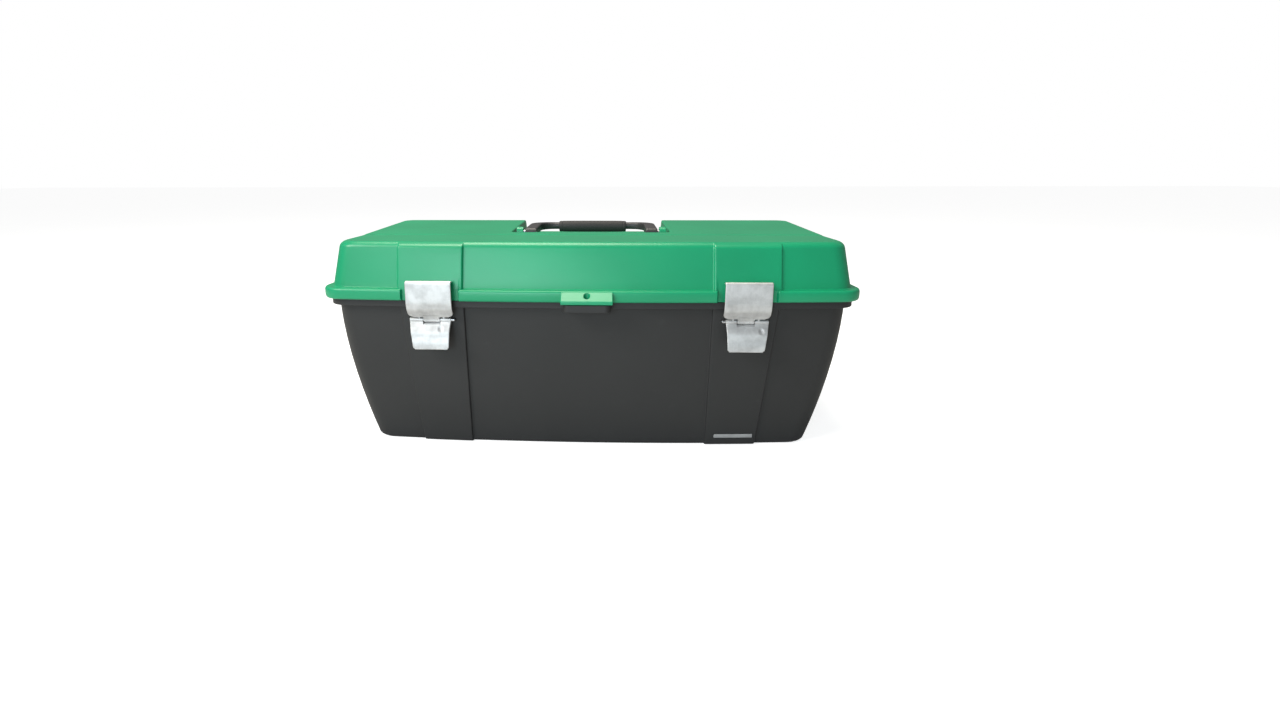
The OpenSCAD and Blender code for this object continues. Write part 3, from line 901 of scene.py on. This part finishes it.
def handle_lug(side):
    z = handle_pivot[2]
    base = channel_z - 0.6 * MM
    foot = [(9.2 * MM, base), (8.2 * MM, channel_z + 0.5 * MM), (6.9 * MM, channel_z + 2.4 * MM)]
    outline = foot + arc(0, z, 6 * MM, -22, 202, 20) + [(-y, z) for y, z in reversed(foot)]
    ends = sorted((side * 82 * MM, side * 90 * MM))
    lug = prism_x("lug", outline, ends[0], ends[1], 0.5 * MM, GREEN, 2)
    return drill(lug, (side * 86 * MM, 0, z), (1, 0, 0), handle_hole_r, 20 * MM)


parts = [lid_body(), padlock_tab(), lid_knuckle(-155 * MM), lid_knuckle(155 * MM), handle_lug(-1),
         handle_lug(1)]
lid = joined("lid_moulding", parts, GREEN)
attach(lid, "lid")
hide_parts("lid_shell")


# ---- Tray ----

def rounded_rect(half_x, half_y, r, z, cx=0.0, cy=0.0):
    points = corner(half_x - r, r - half_y, r, -90) + corner(half_x - r, half_y - r, r, 0)
    points += corner(r - half_x, half_y - r, r, 90) + corner(r - half_x, r - half_y, r, 180)
    return [(x + cx, y + cy, z) for x, y in points]


def tray_block(lo, hi):
    """The tray's outside as a solid: (height above the bottom, inset from the rim, corner radius)."""
    shape = Shape()
    height = (hi.z - lo.z) / MM
    levels = [(0, 6.6, 8.4), (0.2, 5.8, 9.2), (0.7, 5.2, 9.8), (1.6, 5.0, 10)]
    levels += [(height - down, i, r) for down, i, r in
               ((3.4, 2.2, 11.9), (2.4, 2.0, 12), (2.0, 1.6, 12.4), (2.0, 0.5, 13.5), (1.8, 0.12, 13.9),
                (1.5, 0, 14), (0.5, 0, 14), (0.15, 0.15, 13.8), (0, 0.5, 13.5))]
    rings = []
    for h, i, r in levels:
        rings.append(shape.ring(rounded_rect(hi.x - i * MM, hi.y - i * MM, r * MM, lo.z + h * MM)))
    shape.solid(rings)
    return finish_mesh("tray_body", shape, TRAY_GREY)


def tray_pockets(top_z, floor_z):
    """Cutters for the nine compartments: filleted floors, drafted walls and eased rims."""
    shape = Shape()
    depth, eased = top_z - floor_z, 0.7 * MM
    spans = [(-62, 62, -107, 107)]
    for x0, x1 in ((66, 151), (154.4, 250)):
        for y0, y1 in ((1.3, 107), (-107, -1.3)):
            spans += [(x0, x1, y0, y1), (-x1, -x0, y0, y1)]
    for x0, x1, y0, y1 in spans:
        levels = mm([(0, -3.6), (0.25, -2.2), (1.0, -0.95), (2.1, -0.25), (3.4, 0.0)])
        levels += [(depth - eased, 0.0), (depth - 0.35 * MM, 0.12 * MM), (depth, 0.45 * MM),
                   (depth + eased, 1.3 * MM)]
        rings = []
        for h, out in levels:
            grow = 1 + 0.012 * min(1.0, h / tray_tall)
            half_x, half_y = (x1 - x0) / 2 * MM * grow + out, (y1 - y0) / 2 * MM * grow + out
            r = max(2 * MM, 7 * MM + out)
            rings.append(shape.ring(rounded_rect(half_x, half_y, r, floor_z + h,
                                                 (x0 + x1) / 2 * MM, (y0 + y1) / 2 * MM)))
        shape.solid(rings)
    return finish_mesh("pockets", shape, TRAY_GREY)


def tray_bar(top_z):
    """The tray's raised middle bar, by which it's lifted out."""
    outline = [(-7 * MM, top_z - 12 * MM), (7 * MM, top_z - 12 * MM)]
    outline += arc(0, top_z - 2.5 * MM, 7 * MM, 0, 180, 16)
    return prism_x("bar", outline, -63.5 * MM, 63.5 * MM, 0.8 * MM, TRAY_GREY)


tray_lo, tray_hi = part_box("tray")
tray_rim = tray_lo.z + tray_tall
block = tray_block(tray_lo, Vector((tray_hi.x, tray_hi.y, tray_rim)))
block = cut(block, tray_pockets(tray_rim, tray_lo.z + 2.4 * MM))
tray = joined("tray_moulding", [block, tray_bar(tray_rim)], TRAY_GREY)
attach(tray, "tray")
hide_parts("tray")


# ---- Handle ----

def superellipse(half_u, half_v, power, count=28):
    """A rounded outline between an ellipse (power 2) and a rectangle (high power)."""
    points = []
    for i in range(count):
        a = 2 * math.pi * (i + 0.5) / count
        c, s = math.cos(a), math.sin(a)
        points.append((half_u * math.copysign(abs(c) ** (2 / power), c),
                       half_v * math.copysign(abs(s) ** (2 / power), s)))
    return points


def handle_bail():
    """Arms from the two pivots, which turn the corner and thin down to the bar through the grip."""
    shape = Shape()
    pivot_y, pivot_z = handle_pivot[1:]
    grip_lo, grip_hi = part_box("handle_grip")
    bar_y, bar_z = (grip_lo.y + grip_hi.y) / 2, (grip_lo.z + grip_hi.z) / 2
    arm_x, turn_r = 73 * MM, 21 * MM
    rise = (bar_z - pivot_z) / (bar_y - pivot_y)
    path = []
    for y in (-4.95, -4.7, -4.1, -3.0, -1.5, 0.0):
        path.append((arm_x, y * MM, math.sqrt(max(0.2, 25 - y * y)) * MM, 7 * MM, 6.5, (0, 1)))
    for y in (10, 22, 34, 42):
        path.append((arm_x, y * MM, 5 * MM, 7 * MM, 6.5, (0, 1)))
    for i in range(9):
        a = math.radians(90 * i / 8)
        x = arm_x - turn_r * (1 - math.cos(a))
        y = bar_y - turn_r + turn_r * math.sin(a)
        share = smooth(i / 8)
        path.append((x, y, (5 - 0.5 * share) * MM, (7 - 2.5 * share) * MM, 6.5 - 3.6 * share,
                     (-math.sin(a), math.cos(a))))
    for x in (49, 46, 40, 20, 0):
        path.append((x * MM, bar_y, 4.5 * MM, 4.5 * MM, 2.5 if x > 50 else 2.0, (-1, 0)))
    path += [(-x, y, v, u, power, (tx, -ty)) for x, y, v, u, power, (tx, ty) in reversed(path[:-1])]
    rings = []
    for x, y, half_v, half_u, power, (tx, ty) in path:
        z = pivot_z + rise * (y - pivot_y)
        points = [(x + ty * u, y - tx * u, z + v) for u, v in superellipse(half_u, half_v, power)]
        rings.append(shape.ring(points))
    shape.solid(rings)
    bail = finish_mesh("bail", shape, BLACK, 40)
    for side in (-1, 1):
        bail = drill(bail, (side * arm_x, pivot_y, pivot_z), (1, 0, 0), handle_hole_r, 30 * MM, 40)
    return bail, Vector((0, bar_y, bar_z))


bail, bar_centre = handle_bail()
bail.name = "handle_frame"
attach(bail, "handle")
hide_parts("handle_bail")

# The sleeve is turned round the bar, with a groove near each end, then stretched downward from its top
GRIP_R = 6.5
GRIP_OVAL = 1.12
grip_profile = [(-43.6, 4.6), (-43.9, 4.9), (-44, 5.2), (-43.9, 5.6), (-43.5, 5.9), (-42.6, 6.15),
                (-40.5, 6.3), (-40.1, 6.15), (-39.8, 6.0), (-39.4, 6.15), (-39, 6.35), (-30, 6.45),
                (-15, GRIP_R)]
grip_profile += [(-s, r) for s, r in reversed(grip_profile)] + [grip_profile[0]]
grip = turned("grip_sleeve", mm(grip_profile), bar_centre, (1, 0, 0), RUBBER, 40)
grip_top = bar_centre.z + GRIP_R * MM
for v in grip.data.vertices:
    v.co.z = grip_top - (grip_top - v.co.z) * GRIP_OVAL
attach(grip, "handle")
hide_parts("handle_grip")


# ---- Pins, latches and nameplate ----

def place(name, piece, node, body, slot):
    """The piece stands for a CAD node and moves with a body. The slot argument is not used."""
    piece.name = name
    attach(piece, body)
    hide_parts(node)


def resampled(path, step):
    """The same path with no stretch longer than step."""
    out = [path[0]]
    for a, b in zip(path, path[1:]):
        count = max(1, math.ceil((b - a).length / step))
        out += [a + (b - a) * (i / count) for i in range(1, count + 1)]
    return out


def from_link(points):
    return [(claw_link[1] + y * MM, claw_link[2] + z * MM) for y, z in points]


# Outlines for the latch's sheet metal, as (Y, Z) in millimetres from the link pin's axis. NOTCH is taken
# out of the middle of the lever, where the claw's knuckle turns
SHEET_T = 1.6 * MM
LEVER = [(-0.9, -1.6), (-2.4, -4.4), (-6.6, -10.8), (-7.6, -13.4), (-8, -17.4), (-9.8, -22.6), (-10, -28.6)]
NOTCH = [(1.5, -2.75), (1.5, 2), (-6, 2), (-6, -4.35), (-3.6, -4.35), (-0.6, -2.75)]
NOTCH_HALF = 9.1 * MM

# The lever's width at its top, what it loses towards the tab, and how far it leans outward over its height,
# so that its inner edge stands nearly upright. Its knuckles start at one distance from its middle and end
# at another, which is larger on the outer side
LEVER_W, LEVER_TAPER, LEVER_SHIFT = 43 * MM, 6 * MM, 1.8 * MM
LEVER_DROP = 28 * MM
KNUCKLE_START, KNUCKLE_OUTER, KNUCKLE_INNER = 9.2 * MM, 23 * MM, 19.9 * MM


def stadium(a, b, r):
    """An outline round two points, a being the nearer to the front."""
    tilt = math.degrees(math.atan2(b[1] - a[1], b[0] - a[0]))
    return arc(a[0], a[1], r, tilt + 90, tilt + 270, 14) + arc(b[0], b[1], r, tilt - 90, tilt + 90, 14)


def ear(x0, x1, outline, pivot, material):
    """A flat ear with a hole for the lever's pivot pin."""
    plate = prism_x("ear", outline, min(x0, x1), max(x0, x1), 0.3 * MM, material)
    return drill(plate, ((x0 + x1) / 2, *pivot), (1, 0, 0), lever_hole_r, 20 * MM, 32)


def latch_lever(x):
    """A tapered blade with a pressed dimple, two knuckles for the link pin and two ears for the pivot."""
    path = resampled(bent(from_link(LEVER), 3 * MM, 6), 0.9 * MM)
    length = run_of(path)[-1]
    outward = math.copysign(1, x)
    dimple_x, dimple_z = x + (12.5 + 1.5 * outward) * MM, claw_link[2] - 8.5 * MM

    def width(share):
        r = 2.2 * MM
        return LEVER_W - LEVER_TAPER * share - 1.3 * rounded(r - length * (1 - share), r)

    def press(p):
        slant = LEVER_SHIFT * outward * (1 + (p.z - claw_link[2]) / LEVER_DROP)
        away = math.hypot(p.x - dimple_x, p.z - dimple_z) / (3.6 * MM)
        rim = math.exp(-((away - 0.95) / 0.22) ** 2)
        return p + Vector((slant, (0.9 * (1 - smooth(away)) - 0.12 * rim) * MM, 0))

    blade = sheet("blade", path, x, width, 44, press)
    link, pivot = claw_link[1:], lever_pivot[1:]
    blade = cut(blade, prism_x("notch", from_link(NOTCH), x - NOTCH_HALF, x + NOTCH_HALF, 0, STEEL))
    parts = [blade]
    for side in (-1, 1):
        end = KNUCKLE_OUTER if side == outward else KNUCKLE_INNER
        middle, half = (KNUCKLE_START + end) / 2, (end - KNUCKLE_START) / 2
        parts.append(tube("knuckle", (x + side * middle, *link), half, 1.52 * MM))
        outline = stadium(pivot, link, 2 * MM)
        parts.append(ear(x + side * 12 * MM, x + side * 13.6 * MM, outline, pivot, STEEL))
    return joined("lever", parts, STEEL)


def latch_claw(x):
    """A wide curved plate that hooks over the lid, and a narrow strip down to its knuckle."""
    plate_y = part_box("latch_claw_left")[0].y + 1.0 * MM
    link = claw_link[1:]
    above, waist = from_link([(-5.6, 7.7), (-3.8, 4.3)])
    path = [(keeper_y - 0.5 * MM, rim_z + 19.4 * MM), (plate_y + 1.6 * MM, rim_z + 21.2 * MM),
            (plate_y + 0.1 * MM, rim_z + 19.6 * MM), (plate_y - 0.2 * MM, rim_z + 10 * MM),
            (plate_y - 0.2 * MM, rim_z - 1 * MM), (plate_y + 1 * MM, rim_z - 8 * MM), above, waist]
    path = resampled(bent(path, 1.6 * MM, 4), 1.2 * MM)
    length = run_of(path)[-1]

    def width(share):
        lower, upper = 5 * MM, 1.5 * MM
        return (47 * MM - 1.8 * rounded(lower - length * (1 - share), lower)
                - 1.4 * rounded(upper - length * share, upper))

    face = sheet("face", path, x, width, 20)
    strip = [above, waist] + from_link([(-2.1, 1.4), (-1.5, 0.2)])
    strip = resampled(bent(strip, 1.4 * MM, 4), 1 * MM)
    strip = sheet("strip", strip, x, lambda share: 17 * MM, 8)
    knuckle = tube("knuckle", (x, *link), 8.5 * MM, 1.55 * MM)
    return joined("claw", [face, strip, knuckle], STEEL)


def latch_bracket(x, back_y):
    """The bracket is a plate on the tub with an ear at each end."""
    top, half, r = rim_z - 8 * MM, 11.1 * MM, 1.5 * MM
    outline = [(x - half, top - 7.6 * MM), (x + half, top - 7.6 * MM)]
    outline += arc(x + half - r, top - r, r, 0, 90, 6) + arc(x - half + r, top - r, r, 90, 180, 6)
    parts = [prism_y("plate", outline, back_y - 1 * MM, back_y, 0.22 * MM, BRACKET)]
    pivot = lever_pivot[1:]
    outline = stadium(pivot, (back_y - 2 * MM, pivot[1]), 2 * MM)
    for side in (-1, 1):
        parts.append(ear(x + side * 9.5 * MM, x + side * 11.1 * MM, outline, pivot, BRACKET))
    return joined("bracket", parts, BRACKET)


def rivets(x, face_y):
    """Two domed rivets through the bracket and the tub's wall."""
    profile = [(-0.7, 0), (-0.68, 0.7), (-0.58, 1.35), (-0.38, 1.85), (-0.12, 2.15), (0, 2.2), (0, 1.5),
               (7.2, 1.5), (7.4, 1.3), (7.4, 0)]
    z = rim_z - 9.8 * MM
    return joined("rivets", [turned("rivet", mm(profile), (x + dx * MM, face_y, z), (0, 1, 0), WIRE)
                             for dx in (-5.5, 5.5)], WIRE)


for side, hand in ((-1, "left"), (1, "right")):
    x = side * latch_x
    bracket_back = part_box("latch_bracket_" + hand)[1].y

    pin = domed_pin("handle_pin_" + hand, 0.3)
    place("handle_pivot_pin_" + hand, pin, "handle_pin_" + hand, "lid", "pin_steel")
    pin = domed_pin("hinge_pin_" + hand, 0.4)
    place("hinge_rod_" + hand, pin, "hinge_pin_" + hand, "tub", "pin_steel")
    bracket = latch_bracket(x, bracket_back)
    place("latch_mount_" + hand, bracket, "latch_bracket_" + hand, "tub", "bracket_steel")
    pair = rivets(x, bracket_back - 1 * MM)
    place("mount_rivets_" + hand, pair, "bracket_rivets_" + hand, "tub", "pin_steel")
    pin = headed_pin("pivot_pin_" + hand, 1.9 * MM, 0.45 * MM)
    place("lever_pivot_pin_" + hand, pin, "pivot_pin_" + hand, "tub", "pin_steel")
    place("lever_" + hand, latch_lever(x), "latch_lever_" + hand, "lever_" + hand, "latch_steel")
    pin = domed_pin("link_pin_" + hand, 0.6)
    place("claw_pin_" + hand, pin, "link_pin_" + hand, "lever_" + hand, "pin_steel")
    place("claw_" + hand, latch_claw(x), "latch_claw_" + hand, "claw_" + hand, "latch_steel")


def nameplate():
    """A blank plate that lies on the right pilaster, low down."""
    centre = sum(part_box("nameplate"), Vector((0, 0, 0))) / 2
    x, z = centre.x, centre.z
    lean = math.atan((front_at(x, 4.5 * MM) - front_at(x, 20 * MM)) / (15.5 * MM))
    turn = math.atan((front_at(x + 21 * MM, z) - front_at(x - 21 * MM, z)) / (42 * MM))
    turned_by = Matrix.Rotation(turn, 4, "Z") @ Matrix.Rotation(math.radians(90) + lean, 4, "X")
    back = 0.4 * MM

    def at(u, v, w):
        return centre + turned_by @ Vector((u, v, w - back))

    outline = [(u, v) for u, v, _ in rounded_rect(21 * MM, 2.1 * MM, 1 * MM, 0)]
    plate = extruded("plate", outline, at, 0.62 * MM, 0.2 * MM, PLATE)
    field = [(u, v) for u, v, _ in rounded_rect(17 * MM, 1.3 * MM, 0.7 * MM, 0)]
    raised = extruded("field", field, lambda u, v, w: at(u, v, w + 0.4 * MM), 0.4 * MM, 0.12 * MM, PLATE)
    parts = [plate, raised]
    stud = mm([(-0.3, 0), (-0.28, 0.35), (-0.15, 0.62), (0, 0.7), (0.4, 0.7), (0.4, 0)])
    inward = -(turned_by @ Vector((0, 0, 1)))
    for u in (-19, 19):
        parts.append(turned("stud", stud, at(u * MM, 0, 0.62 * MM), inward, PLATE, 16))
    return joined("blank_nameplate", parts, PLATE)


place("blank_nameplate", nameplate(), "nameplate", "tub", "plate_metal")


# ---- Stage, lights and camera ----

def floor(size, z):
    mesh = bpy.data.meshes.new("floor")
    corners = [(-size, -size, z), (size, -size, z), (size, size, z), (-size, size, z)]
    mesh.from_pydata(corners, [], [(0, 1, 2, 3)])
    mesh.materials.append(floor_paint())
    plane = linked("floor", mesh)


def soft_light(name, at, aim, size, watts, colour):
    lamp = bpy.data.lights.new(name, "AREA")
    lamp.shape = "DISK"
    lamp.size = size
    lamp.energy = watts
    lamp.color = colour
    obj = linked(name, lamp)
    obj.location = at
    obj.rotation_euler = (Vector(aim) - Vector(at)).to_track_quat("-Z", "Y").to_euler()


def view_from(at, yaw, pitch, roll, lens, shift):
    """Yaw is to the right of straight ahead, pitch is down and roll is anticlockwise, in degrees."""
    yaw, pitch, roll = (math.radians(a) for a in (yaw, pitch, roll))
    ahead = Vector((math.sin(yaw) * math.cos(pitch), math.cos(yaw) * math.cos(pitch), -math.sin(pitch)))
    right = Vector((math.cos(yaw), -math.sin(yaw), 0))
    up = right.cross(ahead)
    x = right * math.cos(roll) + up * math.sin(roll)
    y = up * math.cos(roll) - right * math.sin(roll)
    turned_by = Matrix((x, y, -ahead)).transposed().to_4x4()
    data = bpy.data.cameras.new("camera")
    data.sensor_width = 36
    data.lens = lens
    data.shift_x, data.shift_y = shift
    data.clip_start, data.clip_end = 0.01, 50
    camera = linked("camera", data)
    camera.matrix_world = Matrix.Translation(at) @ turned_by
    bpy.context.scene.camera = camera


def studio(seen, thrown):
    """A white surround: how bright it looks, and how much light it throws."""
    world = bpy.data.worlds.new("studio")
    world.use_nodes = True
    tree = world.node_tree
    strength = tree.nodes.new("ShaderNodeMapRange")
    strength.inputs["To Min"].default_value = thrown
    strength.inputs["To Max"].default_value = seen
    tree.links.new(tree.nodes.new("ShaderNodeLightPath").outputs["Is Camera Ray"], strength.inputs["Value"])
    tree.nodes["Background"].inputs["Color"].default_value = (1, 1, 1, 1)
    tree.links.new(strength.outputs["Result"], tree.nodes["Background"].inputs["Strength"])
    bpy.context.scene.world = world


bpy.context.scene.view_settings.view_transform = "Standard"
studio(1.0, 0.25)
floor(12.0, cad_lo.z - 0.2 * MM)
soft_light("key", (-1.4, -1.1, 1.3), (-0.05, -0.05, 0.12), 0.9, 27, (1.0, 0.99, 0.94))
soft_light("card", (-0.5, -1.95, 0.55), (-0.1, -0.13, 0.2), 0.9, 17, (0.76, 0.92, 1.0))
soft_light("top", (-0.3, 0.1, 1.8), (0, 0, 0.15), 1.1, 31, (1.0, 0.95, 0.82))
view_from((0.0218, -0.7483, 0.2927), -2.39, 12.9, -0.14, 17.266, (0.0441, -0.0370))
